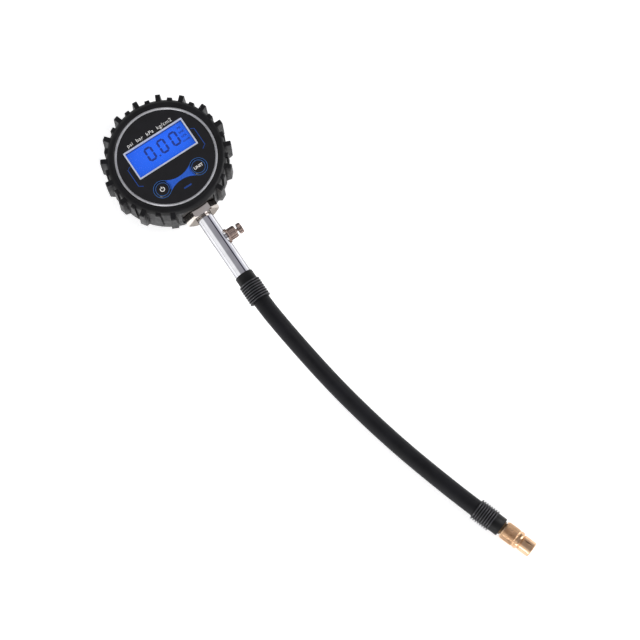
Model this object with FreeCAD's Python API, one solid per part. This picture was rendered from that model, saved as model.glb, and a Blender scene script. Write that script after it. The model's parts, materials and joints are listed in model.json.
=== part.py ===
# Digital tyre pressure gauge: a round head in a tyre-tread rubber boot, a chromed stem with
# a press-to-bleed valve, a short hose and a swivelling brass screw-on chuck.
#
# Frame: millimetres. The origin is the centre of the head's flat back, on the surface it
# lies on. +Z is the dial's outward normal, +Y points to the top of the dial, and the stem
# leaves the head along -Y. Each sub-part is one STEP file in parts/.
import FreeCAD, Part
import math
import os

os.makedirs("parts", exist_ok=True)

V = FreeCAD.Vector
X, Y, Z = V(1, 0, 0), V(0, 1, 0), V(0, 0, 1)

# ---- head: radii and heights ------------------------------------------------------------
CASE_R = 29.6            # outside of the plastic case
CASE_INNER_R = 27.4
BACK_R = 27.0            # flat back that shows inside the boot's rear lip
SPLIT_Z = 14.0           # parting plane of the two case halves, also the stem's height
FLOOR_Z = 4.0            # inside face of the rear half's floor
PLATE_Z = 23.5           # inside face of the front plate
FRONT_Z = 25.3           # outside face of the front plate
OVERLAY_T = 0.8
OVERLAY_R = 26.25
RING_IN_R, RING_OUT_R, RING_Z = 26.3, 27.5, 27.0

# ---- boot and its tread -----------------------------------------------------------------
BOOT_IN_R = 29.7
BOOT_R = 32.2            # boot wall between the lugs
BOOT_TOP_Z = 26.8
TALL_R, SHORT_R = 35.3, 33.3
LUG_FRONT_W, LUG_BACK_W = 2.7, 4.4
LUG_ROOT_R = 30.6
LUG_TOP_Z, LUG_SHOULDER_Z, LUG_END_Z = 26.3, 9.0, 3.0
LUG_PITCH = 21.5         # degrees between tall lugs
TOP_LUG = 3.6            # degrees clockwise from the top of the dial
LAST_LUG = 206.5         # the tall lug on the far side of the stem's cut-out
PORT_HALF_W = 10.3       # cut-out in the boot that the stem's nut comes through
PORT_Z = (5.0, 23.0)

# ---- display and buttons ----------------------------------------------------------------
LCD_Y = 5.4              # centre of the display above the dial's centre
FRAME_HALF = (18.4, 8.6)
FRAME_LINE = 0.8
VIEW_HALF = (17.6, 7.8)
BUTTON_X, BUTTON_Y = 11.4, -14.1
BUTTON_R, BUTTON_HOLE_R, BUTTON_FLANGE_R = 4.35, 4.6, 4.95
BUTTON_TOP_Z = 26.25
PCB_Z, PCB_T, PCB_R = 19.4, 1.4, 26.6

# ---- battery bay ------------------------------------------------------------------------
CELL_R, CELL_L, CELL_Y, CELL_Z = 5.25, 44.5, 5.5, 7.15
BAY_HALF = (23.6, 11.2)
BAY_WALL = 0.8
BAY_ROOF_Z = 13.0
DOOR_HALF = (24.1, 11.7)
DOOR_T = 1.6
DOOR_SCREW_Y = 14.2
CONTACT_T = 0.3

# ---- case screws ------------------------------------------------------------------------
POST_RADIUS, POST_R = 24.4, 2.3
POST_ANGLES = (45, 135, 220, 320)
HEAD_R, HEAD_SEAT_R = 2.2, 2.35
PCB_SCREWS = ((22.5, 0.0), (-22.5, 0.0), (0.0, 21.5))

# ---- stem, along -Y at the parting plane's height ---------------------------------------
STEM_Z = SPLIT_Z
STEM_R = 4.5
AIR_R = 1.5
HEX_AF = 17.0
HEX_Y = (-30.0, -36.1)   # face against the case, face towards the hose
HEX_CHAMFER_R = (10.5, 9.0)   # the chamfer cone at the hose's side, from its foot to the face
SPIGOT_R = 5.0
STEM_END_Y = -75.0
BARB_R, BARB_RIDGE_R, BARB_COUNT = 2.0, 2.25, 5
SHANK_R = 3.2            # the stem's thread in the hex union

# ---- bleeder valve, along +X on the stem ------------------------------------------------
BLEED_Y = -51.7
BLEED_PORT_R = 2.3
BLEED_BOSS_R = 4.0       # round seat on the stem
BLEED_BODY_R = 3.4
BLEED_KNOB_R = 3.0
BLEED_PIN_R = 0.80
BLEED_BORE_R = 0.85
BLEED_X = {"ledge": 2.0, "seat": 5.4, "body": 9.9, "knob": 11.2, "tip": 13.5}

# ---- coil springs: mean radius, wire radius, pitch, height of the wire's centreline ------
CELL_SPRING = (2.6, 0.2, 0.45, 0.5)
BLEED_SPRING = (1.42, 0.16, 0.7, 2.1)

# ---- hose and its reliefs ---------------------------------------------------------------
HOSE_R, HOSE_BORE_R = 4.7, 2.0
RELIEF_Y = (-74.2, -79.4, -91.0)   # neck, first rib, end of ribs
RIB_R, RIB_ROOT_R, NECK_R = 6.1, 5.5, 5.15
RIB_COUNT = 8
CRIMP_R = 5.05
CRIMP_T = (2.0, 9.0)     # span of a crimp ring, from the hose's side of its relief
SWIVEL_SEAT_T, SWIVEL_SEAT_R = 16.0, 3.85   # where the far relief narrows onto the swivel
CHUCK_ANGLE = 19.0       # degrees from -Y towards +X
CHUCK_Z = 6.2
CHUCK_ORIGIN = V(32.75, -245.07, CHUCK_Z)
FAR_NECK_T, FAR_END_T = 11.3, 16.5
HOSE_END_T = 14.0
# Corners of the hose's route, from the stem's barb to the chuck's barb. It leaves the stem
# level, sinks to the surface, bends towards +X and lifts again to the far relief.
HOSE_ROUTE = (
    (0.0, -75.0, 14.0), (0.0, -93.3, 14.0), (2.1, -113.0, 12.8), (4.9, -132.7, 9.8),
    (8.4, -153.5, 7.2), (12.8, -174.5, 5.6), (17.9, -195.5, 4.95), (23.8, -216.3, 5.0),
    (30.80, -239.40, 6.2), (37.31, -258.31, 6.2))
ARC_SHARE = 0.45         # part of the shorter run that each arc takes

# ---- chuck, by distance along its own axis ----------------------------------------------
NUT_R = 5.0
NUT_T = (17.6, 28.4)
COLLAR_T = 25.9          # where the knurl ends and the plain collar starts
NOSE_R, NOSE_END_T = 4.35, 36.1
VALVE_BORE_R, VALVE_BORE_T = 3.45, 30.1
JOURNAL_R, JOURNAL_BORE_R = 3.2, 3.25
CHUCK_DIR = V(math.sin(math.radians(CHUCK_ANGLE)), -math.cos(math.radians(CHUCK_ANGLE)), 0)


# ---- shape helpers ----------------------------------------------------------------------
def save(name, shape):
    solids = shape.Solids
    assert shape.isValid() and solids, name
    shape.exportStep("parts/%s.step" % name)
    print("%-22s %d solid(s) %9.1f mm3" % (name, len(solids), sum(s.Volume for s in solids)))


def disc(radius, z0, z1, x=0.0, y=0.0):
    return Part.makeCylinder(radius, z1 - z0, V(x, y, z0), Z)


def rod(radius, start, direction, length):
    return Part.makeCylinder(radius, length, start, direction)


def block(x0, x1, y0, y1, z0, z1):
    return Part.makeBox(x1 - x0, y1 - y0, z1 - z0, V(x0, y0, z0))


def turned(profile, origin=V(0, 0, 0), direction=Z):
    """Solid of revolution: profile is (distance along the axis, radius) corners."""
    points = [V(r, 0, t) for t, r in profile]
    face = Part.Face(Part.makePolygon(points + points[:1]))
    solid = face.revolve(V(0, 0, 0), Z, 360)
    solid.Placement = FreeCAD.Placement(origin, FreeCAD.Rotation(Z, direction))
    return solid


def plate(half_x, half_y, z0, z1, y=0.0, corner=0.6):
    """Rectangular plate with rounded upright edges, centred on x = 0."""
    box = block(-half_x, half_x, y - half_y, y + half_y, z0, z1)
    upright = [e for e in box.Edges if abs(e.tangentAt(e.FirstParameter).z) > 0.9]
    return box.makeFillet(corner, upright)


def hexagon(across_flats, start, direction, length):
    """Hexagonal prism along Y with two flats facing up and down."""
    corner_r = across_flats / math.sqrt(3)
    points = []
    for i in range(7):
        a = math.radians(60 * i)
        points.append(start + V(corner_r * math.cos(a), 0, corner_r * math.sin(a)))
    return Part.Face(Part.makePolygon(points)).extrude(direction * length)


def coil(radius, wire_r, pitch, height, origin, direction):
    helix = Part.makeLongHelix(pitch, height, radius)   # one edge to a turn
    start = helix.Vertexes[0].Point
    tangent = helix.Edges[0].tangentAt(helix.Edges[0].FirstParameter)
    section = Part.Wire(Part.makeCircle(wire_r, start, tangent))
    solid = Part.Wire(helix.Edges).makePipeShell([section], True, True)
    solid.Placement = FreeCAD.Placement(origin, FreeCAD.Rotation(Z, direction))
    return solid


def with_grooves(solid, start, direction, length, radius, count, groove_r):
    """Cut straight grooves along a turned grip."""
    side = direction.cross(Z)
    side.normalize()
    cutters = []
    for i in range(count):
        arm = FreeCAD.Rotation(direction, 360.0 * i / count).multVec(side) * radius
        cutters.append(rod(groove_r, start + arm, direction, length))
    return solid.cut(Part.makeCompound(cutters))


def stem_point(y):
    return V(0, y, STEM_Z)


def along_stem(profile):
    """Turned about the stem's axis; profile distances are y values, going down."""
    return turned([(-y, r) for y, r in profile], V(0, 0, STEM_Z), V(0, -1, 0))


def along_chuck(profile):
    return turned(profile, CHUCK_ORIGIN, CHUCK_DIR)


def along_bleeder(profile):
    return turned(profile, V(0, BLEED_Y, STEM_Z), X)


# ---- boot -------------------------------------------------------------------------------
def lug(tip_r):
    """One tread lug at the +Y side: narrow at the front, wider and sloping off behind."""
    def section(width, z):
        corners = [V(-width / 2, LUG_ROOT_R, z), V(width / 2, LUG_ROOT_R, z),
                   V(width / 2, TALL_R, z), V(-width / 2, TALL_R, z)]
        return Part.makePolygon(corners + corners[:1])

    wedge = Part.makeLoft([section(LUG_FRONT_W, LUG_TOP_Z), section(LUG_BACK_W, LUG_END_Z)],
                          True, True)
    side = [V(0, LUG_ROOT_R, LUG_TOP_Z), V(0, tip_r - 0.6, LUG_TOP_Z),
            V(0, tip_r, LUG_TOP_Z - 0.6), V(0, tip_r, LUG_SHOULDER_Z),
            V(0, LUG_ROOT_R + 1.0, LUG_END_Z), V(0, LUG_ROOT_R, LUG_END_Z)]
    outline = Part.Face(Part.makePolygon(side + side[:1]))
    outline.translate(V(-LUG_BACK_W, 0, 0))
    return wedge.common(outline.extrude(V(2 * LUG_BACK_W, 0, 0)))


def rubber_boot():
    shell = turned([(0, 27.3), (0, 30.8), (1.6, BOOT_R), (24.9, BOOT_R), (26.3, 31.2),
                    (BOOT_TOP_Z, 30.4), (BOOT_TOP_Z, 28.0), (26.5, 27.7), (FRONT_Z, 27.7),
                    (FRONT_Z, BOOT_IN_R), (2.0, BOOT_IN_R), (2.0, 27.3)])
    tall_angles = [TOP_LUG + LUG_PITCH * k for k in range(-6, 8)]
    short_angles = [a + LUG_PITCH / 2 for a in tall_angles[:-1]]
    short_angles.append((LAST_LUG + tall_angles[0] + 360) / 2)
    tall_angles.append(LAST_LUG)
    lugs = []
    for tip_r, angles in ((TALL_R, tall_angles), (SHORT_R, short_angles)):
        one = lug(tip_r)
        for angle in angles:
            copy = one.copy()
            copy.rotate(V(0, 0, 0), Z, -angle)
            lugs.append(copy)
    shell = shell.multiFuse(lugs)
    port = block(-PORT_HALF_W, PORT_HALF_W, -45, -27, PORT_Z[0], PORT_Z[1])
    return shell.cut(port).removeSplitter()


# ---- case -------------------------------------------------------------------------------
def post_centres():
    for angle in POST_ANGLES:
        a = math.radians(angle)
        yield POST_RADIUS * math.cos(a), POST_RADIUS * math.sin(a)


def spigot_hole():
    return rod(SPIGOT_R + 0.05, stem_point(-20), V(0, -1, 0), 15)


def seat_pads(z0, z1):
    """Flat faces inside and outside the round wall, for the lock nut and the hex union."""
    inside = block(-8.0, 8.0, -28.4, -26.2, z0, z1)
    outside = block(-9.8, 9.8, HEX_Y[0], -27.6, max(z0, PORT_Z[0] + 0.3), min(z1, PORT_Z[1] - 0.3))
    return inside.fuse(outside)


def case_rear():
    body = turned([(0, 0), (0, BACK_R), (2.0, BACK_R), (2.0, CASE_R), (SPLIT_Z, CASE_R),
                   (SPLIT_Z, CASE_INNER_R), (FLOOR_Z, CASE_INNER_R), (FLOOR_Z, 0)])
    tub = block(-BAY_HALF[0] - BAY_WALL, BAY_HALF[0] + BAY_WALL, -BAY_HALF[1] - BAY_WALL,
                BAY_HALF[1] + BAY_WALL, DOOR_T, SPLIT_Z)
    tub = tub.common(disc(CASE_R, 0, SPLIT_Z))
    posts = [disc(POST_R, DOOR_T, SPLIT_Z, x, y) for x, y in post_centres()]
    door_boss = disc(2.4, DOOR_T, 9.0, 0, DOOR_SCREW_Y)
    body = body.multiFuse([tub, door_boss, seat_pads(FLOOR_Z - 1, SPLIT_Z)] + posts)
    cuts = [block(-BAY_HALF[0], BAY_HALF[0], -BAY_HALF[1], BAY_HALF[1], -1, BAY_ROOF_Z),
            door_outline(0.15, -1, DOOR_T), spigot_hole(),
            disc(1.0, 0, 8.0, 0, DOOR_SCREW_Y)]
    for x, y in post_centres():
        cuts += [disc(1.4, -1, SPLIT_Z + 1, x, y), disc(HEAD_SEAT_R, -1, 2.6, x, y)]
    for y in (-CELL_Y, CELL_Y):
        cuts.append(block(-BAY_HALF[0], -BAY_HALF[0] + 0.6, y - 1.6, y + 1.6, 12, 15))
    return body.cut(Part.makeCompound(cuts))


def case_front():
    body = turned([(SPLIT_Z, CASE_INNER_R), (SPLIT_Z, CASE_R), (FRONT_Z, CASE_R), (FRONT_Z, 0),
                   (PLATE_Z, 0), (PLATE_Z, CASE_INNER_R)])
    posts = [disc(POST_R, SPLIT_Z, PLATE_Z + 0.5, x, y) for x, y in post_centres()]
    posts += [disc(2.2, PCB_Z + PCB_T, PLATE_Z + 0.5, x, y) for x, y in PCB_SCREWS]
    body = body.multiFuse(posts + [seat_pads(SPLIT_Z, PLATE_Z + 0.5)])
    cuts = [block(-VIEW_HALF[0], VIEW_HALF[0], LCD_Y - VIEW_HALF[1], LCD_Y + VIEW_HALF[1], 20, 30),
            spigot_hole()]
    cuts += [disc(BUTTON_HOLE_R, 20, 30, sx * BUTTON_X, BUTTON_Y) for sx in (-1, 1)]
    cuts += [disc(1.25, SPLIT_Z - 1, 21.0, x, y) for x, y in post_centres()]
    cuts += [disc(0.9, PCB_Z, 23.0, x, y) for x, y in PCB_SCREWS]
    return body.cut(Part.makeCompound(cuts))


def screws(centres, head_r, head_z, shank_r, tip_z):
    made = []
    for x, y in centres:
        head = disc(head_r, head_z[0], head_z[1], x, y)
        slot = block(x - head_r, x + head_r, y - 0.3, y + 0.3, head_z[0] - 1, head_z[0] + 0.5)
        made.append(head.cut(slot).fuse(disc(shank_r, head_z[1], tip_z, x, y)))
    return Part.makeCompound(made)


def door_outline(grow, z0, z1):
    body = plate(DOOR_HALF[0] + grow, DOOR_HALF[1] + grow, z0, z1, 0.0, 2.0)
    tab = disc(3.4 + grow, z0, z1, 0, DOOR_SCREW_Y)
    neck = block(-3.4 - grow, 3.4 + grow, 0, DOOR_SCREW_Y, z0, z1)
    return body.fuse(tab).fuse(neck).removeSplitter()


def battery_door():
    door = door_outline(0.0, 0, DOOR_T)
    grips = [block(-6, 6, y, y + 0.6, -1, 0.35) for y in (-9.0, -7.4, -5.8)]
    screw_seat = [disc(2.1, -1, 0.9, 0, DOOR_SCREW_Y), disc(1.1, -1, 3, 0, DOOR_SCREW_Y)]
    return door.cut(Part.makeCompound(grips + screw_seat))


# ---- batteries --------------------------------------------------------------------------
def cell(y):
    """One AAA cell; the two lie opposite ways."""
    way = 1 if y > 0 else -1
    body_l = CELL_L - 0.8
    start = V(-way * CELL_L / 2, y, CELL_Z)
    body = rod(CELL_R, start, X * way, body_l)
    nub = rod(1.9, start + X * (way * body_l), X * way, 0.8)
    return body.fuse(nub)


def battery_contacts():
    x1 = BAY_HALF[0] - 0.1
    x0 = x1 - CONTACT_T
    made = [block(x0, x1, -CELL_Y - 3.5, CELL_Y + 3.5, 3.5, 11.0)]
    for y in (-CELL_Y, CELL_Y):
        pad = block(-x1, -x0, y - 3.5, y + 3.5, 3.5, 11.0)
        made.append(pad.fuse(block(-x1, -x0, y - 1.4, y + 1.4, 11.0, PCB_Z)))
    return Part.makeCompound(made)


def battery_springs():
    """One flat-wound spring behind each cell's negative end."""
    reach = BAY_HALF[0] - 0.1 - CONTACT_T
    made = []
    for y in (-CELL_Y, CELL_Y):
        way = -1 if y > 0 else 1
        made.append(coil(*CELL_SPRING, V(way * (reach - 0.22), y, CELL_Z), X * -way))
    return Part.makeCompound(made)


# ---- electronics ------------------------------------------------------------------------
def pcb():
    board = disc(PCB_R, PCB_Z, PCB_Z + PCB_T)
    cuts = [disc(POST_R + 0.3, PCB_Z - 1, PCB_Z + 3, x, y) for x, y in post_centres()]
    cuts += [disc(0.95, PCB_Z - 1, PCB_Z + 3, x, y) for x, y in PCB_SCREWS]
    cuts.append(block(-8.3, 8.3, -30, -20, PCB_Z - 1, PCB_Z + 3))
    return board.cut(Part.makeCompound(cuts))


def capacitors():
    top = PCB_Z
    return Part.makeCompound([block(x, x + 2.0, 17.0, 18.2, top - 1.0, top) for x in (4, 7, 10)])


def window_ring(outer, inner, z0, z1, corner):
    ring = plate(outer[0], outer[1], z0, z1, LCD_Y, corner)
    return ring.cut(plate(inner[0], inner[1], z0 - 1, z1 + 1, LCD_Y, corner / 2))


def face_overlay():
    sheet = disc(OVERLAY_R, FRONT_Z, FRONT_Z + OVERLAY_T)
    window = plate(FRAME_HALF[0] + 0.05, FRAME_HALF[1] + 0.05, FRONT_Z - 1, FRONT_Z + 2, LCD_Y, 0.5)
    holes = [disc(BUTTON_HOLE_R, FRONT_Z - 1, FRONT_Z + 2, s * BUTTON_X, BUTTON_Y) for s in (-1, 1)]
    return sheet.cut(Part.makeCompound([window] + holes))


def button(side):
    base = PCB_Z + PCB_T
    return turned([(base + 1.1, 0), (base + 1.1, 1.5), (base + 1.4, 1.5),
                   (base + 1.4, BUTTON_FLANGE_R), (base + 2.4, BUTTON_FLANGE_R),
                   (base + 2.4, BUTTON_R), (BUTTON_TOP_Z - 0.2, BUTTON_R),
                   (BUTTON_TOP_Z, BUTTON_R - 0.2), (BUTTON_TOP_Z, 0)],
                  V(side * BUTTON_X, BUTTON_Y, 0))


def dome_switches():
    base = PCB_Z + PCB_T
    profile = [(base, 0), (base, 3.0), (base + 0.15, 3.0), (base + 0.6, 1.6), (base + 0.6, 0)]
    return Part.makeCompound([turned(profile, V(s * BUTTON_X, BUTTON_Y, 0)) for s in (-1, 1)])


def electronics():
    top = PCB_Z + PCB_T
    low = LCD_Y - VIEW_HALF[1] + 0.1
    high = LCD_Y + VIEW_HALF[1] - 0.1
    wide = VIEW_HALF[0] - 0.1
    holder = block(-19.2, 19.2, low - 1.4, high + 1.4, top, PLATE_Z)
    return {
        "pcb": pcb(),
        "controller_chip": block(-12, -3, 3, 12, PCB_Z - 1.2, PCB_Z),
        "capacitors": capacitors(),
        "pcb_screws": screws(PCB_SCREWS, 1.9, (PCB_Z - 1.3, PCB_Z), 0.9, 23.0),
        "dome_switches": dome_switches(),
        "zebra_strip": block(-15, 15, low, low + 1.5, top, top + 1.6),
        "backlight": block(-wide, wide, low + 1.6, high, top + 0.2, top + 1.6),
        "lcd_glass": block(-wide, wide, low, high, top + 1.6, top + 3.2),
        "lcd_holder": holder.cut(block(-wide, wide, low, high, top - 1, PLATE_Z + 1)),
        "lcd_window": block(-wide, wide, low, high, FRONT_Z - 0.7, FRONT_Z),
    }


# ---- stem and sensor --------------------------------------------------------------------
def hex_union():
    solid = hexagon(HEX_AF, stem_point(HEX_Y[0]), V(0, -1, 0), HEX_Y[0] - HEX_Y[1])
    foot_r, face_r = HEX_CHAMFER_R
    cap = along_stem([(HEX_Y[0] + 1, 0), (HEX_Y[0] + 1, foot_r), (HEX_Y[1] + 0.9, foot_r),
                      (HEX_Y[1], face_r), (HEX_Y[1], 0)])
    spigot = along_stem([(-18, 0), (-18, 4.2), (-22, 4.2), (-22, SPIGOT_R), (-31, SPIGOT_R), (-31, 0)])
    solid = solid.common(cap).fuse(spigot)
    bore = rod(AIR_R, stem_point(-17), V(0, -1, 0), 30)
    socket = rod(SHANK_R, stem_point(-31), V(0, -1, 0), 10)
    return solid.cut(bore).cut(socket).removeSplitter()


def lock_nut():
    nut = hexagon(12.4, stem_point(-22.7), V(0, -1, 0), 3.5)
    return nut.cut(rod(SPIGOT_R, stem_point(-20), V(0, -1, 0), 10))


def barb_teeth(root, tip):
    """Saw-tooth corners of a hose barb from its root to its tip, as (distance, radius)."""
    step = (tip - root) / BARB_COUNT
    corners = []
    for i in range(BARB_COUNT):
        start = root + i * step
        corners += [(start, BARB_RIDGE_R), (start + step * 0.9, BARB_R)]
    return corners


def stem():
    end = STEM_END_Y
    teeth = barb_teeth(end, end - 11.0)
    solid = along_stem([(-31, AIR_R), (-31, SHANK_R), (HEX_Y[1], SHANK_R), (HEX_Y[1], STEM_R - 0.4),
                        (HEX_Y[1] - 0.4, STEM_R), (end, STEM_R)] + teeth
                       + [(end - 12, BARB_R), (end - 12.5, 1.8), (end - 12.5, AIR_R)])
    seat = rod(BLEED_BOSS_R, V(STEM_R - 1.5, BLEED_Y, STEM_Z), X, 1.9)
    solid = solid.fuse(seat.cut(rod(AIR_R, stem_point(-45), V(0, -1, 0), 15)))
    port = rod(BLEED_PORT_R, V(BLEED_X["ledge"], BLEED_Y, STEM_Z), X, 6)
    feed = rod(1.3, V(0, BLEED_Y, STEM_Z), X, 3)
    return solid.cut(port).cut(feed)


def sensor_parts():
    return {
        "pressure_sensor": along_stem([(-12.6, 0), (-12.6, 3.4), (-13.6, 3.4), (-13.6, 4.2),
                                       (-17.0, 4.2), (-17.0, 0)]),
        "sensor_collar": along_stem([(-13.0, 3.6), (-13.0, 5.3), (-21.5, 5.3), (-21.5, 4.2),
                                     (-13.6, 4.2), (-13.6, 3.6)]),
        "sensor_seal": along_stem([(-17.0, 1.7), (-17.0, 3.4), (-18.0, 3.4), (-18.0, 1.7)]),
        "sensor_flex": block(-2, 2, -12.6, -12.3, STEM_Z, PCB_Z),
    }


# ---- bleeder valve ----------------------------------------------------------------------
def bleeder_parts():
    seat, body, knob, tip = (BLEED_X[k] for k in ("seat", "body", "knob", "tip"))
    ledge = BLEED_X["ledge"] + 0.3
    nut = along_bleeder([(ledge, 1.75), (ledge, BLEED_PORT_R), (4.9, BLEED_PORT_R),
                         (4.9, BLEED_BODY_R - 0.4), (seat, BLEED_BODY_R - 0.4),
                         (seat, BLEED_BODY_R), (body - 0.4, BLEED_BODY_R),
                         (body, BLEED_BODY_R - 0.4), (body, BLEED_BORE_R),
                         (6.7, BLEED_BORE_R), (6.7, 1.75)])
    nut = with_grooves(nut, V(seat, BLEED_Y, STEM_Z), X, body - seat + 1, BLEED_BODY_R + 0.1, 16, 0.45)
    plunger = along_bleeder([(4.6, 0), (4.6, 1.5), (5.5, 1.5), (5.5, BLEED_PIN_R),
                             (knob, BLEED_PIN_R), (knob, BLEED_KNOB_R - 0.3),
                             (knob + 0.3, BLEED_KNOB_R), (tip - 0.3, BLEED_KNOB_R),
                             (tip, BLEED_KNOB_R - 0.3), (tip, 1.2), (tip - 0.4, 0.9), (tip - 0.4, 0)])
    plunger = with_grooves(plunger, V(knob - 0.2, BLEED_Y, STEM_Z), X, tip - knob + 1,
                           BLEED_KNOB_R + 0.25, 8, 0.8)
    return {
        "bleeder_body": nut,
        "bleeder_plunger": plunger,
        "bleeder_seal": along_bleeder([(5.5, BLEED_PIN_R), (5.5, 1.55), (6.65, 1.55), (6.65, BLEED_PIN_R)]),
        "bleeder_spring": coil(*BLEED_SPRING, V(BLEED_X["ledge"] + 0.18, BLEED_Y, STEM_Z), X),
    }


# ---- hose and reliefs -------------------------------------------------------------------
def ribbed(start, end):
    """Ring ribs of a relief, as (distance, radius) corners from start to end."""
    step = (end - start) / RIB_COUNT
    corners = []
    for i in range(RIB_COUNT):
        t = start + i * step
        corners += [(t + 0.06 * step, RIB_ROOT_R), (t + 0.16 * step, RIB_R),
                    (t + 0.62 * step, RIB_R), (t + 0.72 * step, RIB_ROOT_R)]
    return corners


def relief_near():
    neck, ribs, end = (-y for y in RELIEF_Y)
    stem_end = -STEM_END_Y
    corners = [(neck, STEM_R), (neck, NECK_R - 0.3), (neck + 0.3, NECK_R), (ribs, NECK_R)]
    corners += ribbed(ribs, end) + [(end, RIB_ROOT_R), (end, HOSE_R), (end - CRIMP_T[0], HOSE_R),
                                    (end - CRIMP_T[0], CRIMP_R), (end - CRIMP_T[1], CRIMP_R),
                                    (end - CRIMP_T[1], HOSE_R), (stem_end, HOSE_R), (stem_end, STEM_R)]
    return along_stem([(-t, r) for t, r in corners])


def relief_far():
    corners = [(0, HOSE_R), (0, RIB_ROOT_R)] + ribbed(0, FAR_NECK_T)
    corners += [(FAR_NECK_T, NECK_R), (FAR_END_T - 0.3, NECK_R), (FAR_END_T, NECK_R - 0.3),
                (FAR_END_T, SWIVEL_SEAT_R), (SWIVEL_SEAT_T, SWIVEL_SEAT_R), (SWIVEL_SEAT_T, HOSE_R),
                (CRIMP_T[1], HOSE_R), (CRIMP_T[1], CRIMP_R), (CRIMP_T[0], CRIMP_R), (CRIMP_T[0], HOSE_R)]
    return along_chuck(corners)


def crimps():
    start, end = CRIMP_T
    ring = [(start, HOSE_R), (start, CRIMP_R), (end, CRIMP_R), (end, HOSE_R)]
    return along_stem([(RELIEF_Y[2] + t, r) for t, r in ring]), along_chuck(ring)


def route_wire():
    """Straight runs joined by tangent arcs, each as large as its two runs allow."""
    points = [V(*p) for p in HOSE_ROUTE]
    edges = []
    radii = []
    here = points[0]
    for before, corner, after in zip(points, points[1:], points[2:]):
        back = before - corner
        on = after - corner
        reach = ARC_SHARE * min(back.Length, on.Length)
        turn = math.pi - back.getAngle(on)
        radii.append(reach / math.tan(turn / 2))
        back.normalize()
        on.normalize()
        first = corner + back * reach
        last = corner + on * reach
        inward = back + on
        inward.normalize()
        middle = corner + inward * (radii[-1] / math.cos(turn / 2) - radii[-1])
        edges.append(Part.LineSegment(here, first).toShape())
        edges.append(Part.Arc(first, middle, last).toShape())
        here = last
    edges.append(Part.LineSegment(here, points[-1]).toShape())
    return Part.Wire(edges), radii


def hose():
    path, radii = route_wire()
    start = V(*HOSE_ROUTE[0])
    heading = V(*HOSE_ROUTE[1]) - start
    tubes = []
    for radius in (HOSE_R, HOSE_BORE_R):
        section = Part.Wire(Part.makeCircle(radius, start, heading))
        tubes.append(path.makePipeShell([section], True, True))
    solid = tubes[0].cut(tubes[1])
    expected = math.pi * (HOSE_R ** 2 - HOSE_BORE_R ** 2) * path.Length
    print("hose length %.1f mm, volume / (section x length) = %.4f" % (path.Length, solid.Volume / expected))
    print("hose bend radii:", ", ".join("%.0f" % r for r in radii))
    return solid


# ---- chuck ------------------------------------------------------------------------------
def chuck_parts():
    teeth = barb_teeth(HOSE_END_T, 3.0)[::-1]
    swivel = [(2.6, 1.0), (2.6, 1.8)] + teeth
    swivel += [(HOSE_END_T, HOSE_R), (SWIVEL_SEAT_T, HOSE_R), (SWIVEL_SEAT_T, SWIVEL_SEAT_R),
               (17.3, SWIVEL_SEAT_R),
               (17.3, JOURNAL_R), (21.3, JOURNAL_R), (21.3, 2.7), (21.9, 2.7), (21.9, JOURNAL_R),
               (23.8, JOURNAL_R), (24.0, JOURNAL_R - 0.2), (24.0, 1.0)]
    nut = [(NUT_T[0], JOURNAL_BORE_R), (NUT_T[0], NUT_R - 0.5), (NUT_T[0] + 0.5, NUT_R),
           (COLLAR_T, NUT_R), (COLLAR_T, NUT_R - 0.25), (COLLAR_T + 0.3, NUT_R - 0.25),
           (COLLAR_T + 0.3, NUT_R - 0.05), (NUT_T[1] - 0.3, NUT_R - 0.05), (NUT_T[1], NUT_R - 0.4),
           (NUT_T[1], 4.1), (21.0, 4.1), (21.0, JOURNAL_BORE_R)]
    nose = [(23.2, 3.55), (23.2, 4.1), (NUT_T[1], 4.1), (NUT_T[1], 3.95), (28.9, 3.95),
            (29.3, NOSE_R), (NOSE_END_T - 0.4, NOSE_R), (NOSE_END_T, NOSE_R - 0.4),
            (NOSE_END_T, VALVE_BORE_R), (VALVE_BORE_T, VALVE_BORE_R), (VALVE_BORE_T, 3.75),
            (27.2, 3.75), (27.2, 1.5), (25.0, 1.5), (25.0, 3.55)]
    pin = along_chuck([(20.0, 0), (20.0, 1.0), (24.0, 1.0), (24.0, 0.7), (29.6, 0.7), (29.9, 0.4),
                       (29.9, 0)])
    flats = [block(-3, 3, 0.6, 3, -1, 24), block(-3, 3, -3, -0.6, -1, 24)]
    for flat in flats:
        flat.Placement = FreeCAD.Placement(CHUCK_ORIGIN, FreeCAD.Rotation(Z, CHUCK_DIR))
    return {
        "swivel_stem": along_chuck(swivel),
        "chuck_nut": along_chuck(nut),
        "chuck_nose": along_chuck(nose),
        "snap_ring": along_chuck([(21.35, 2.7), (21.35, 3.8), (21.85, 3.8), (21.85, 2.7)]),
        "swivel_seal": along_chuck([(24.1, 1.7), (24.1, 3.45), (25.0, 3.45), (25.0, 1.7)]),
        "chuck_seal": along_chuck([(27.2, 1.4), (27.2, 3.7), (28.7, 3.7), (28.7, 1.4)]),
        "depressor_pin": pin.cut(Part.makeCompound(flats)),
    }


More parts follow.
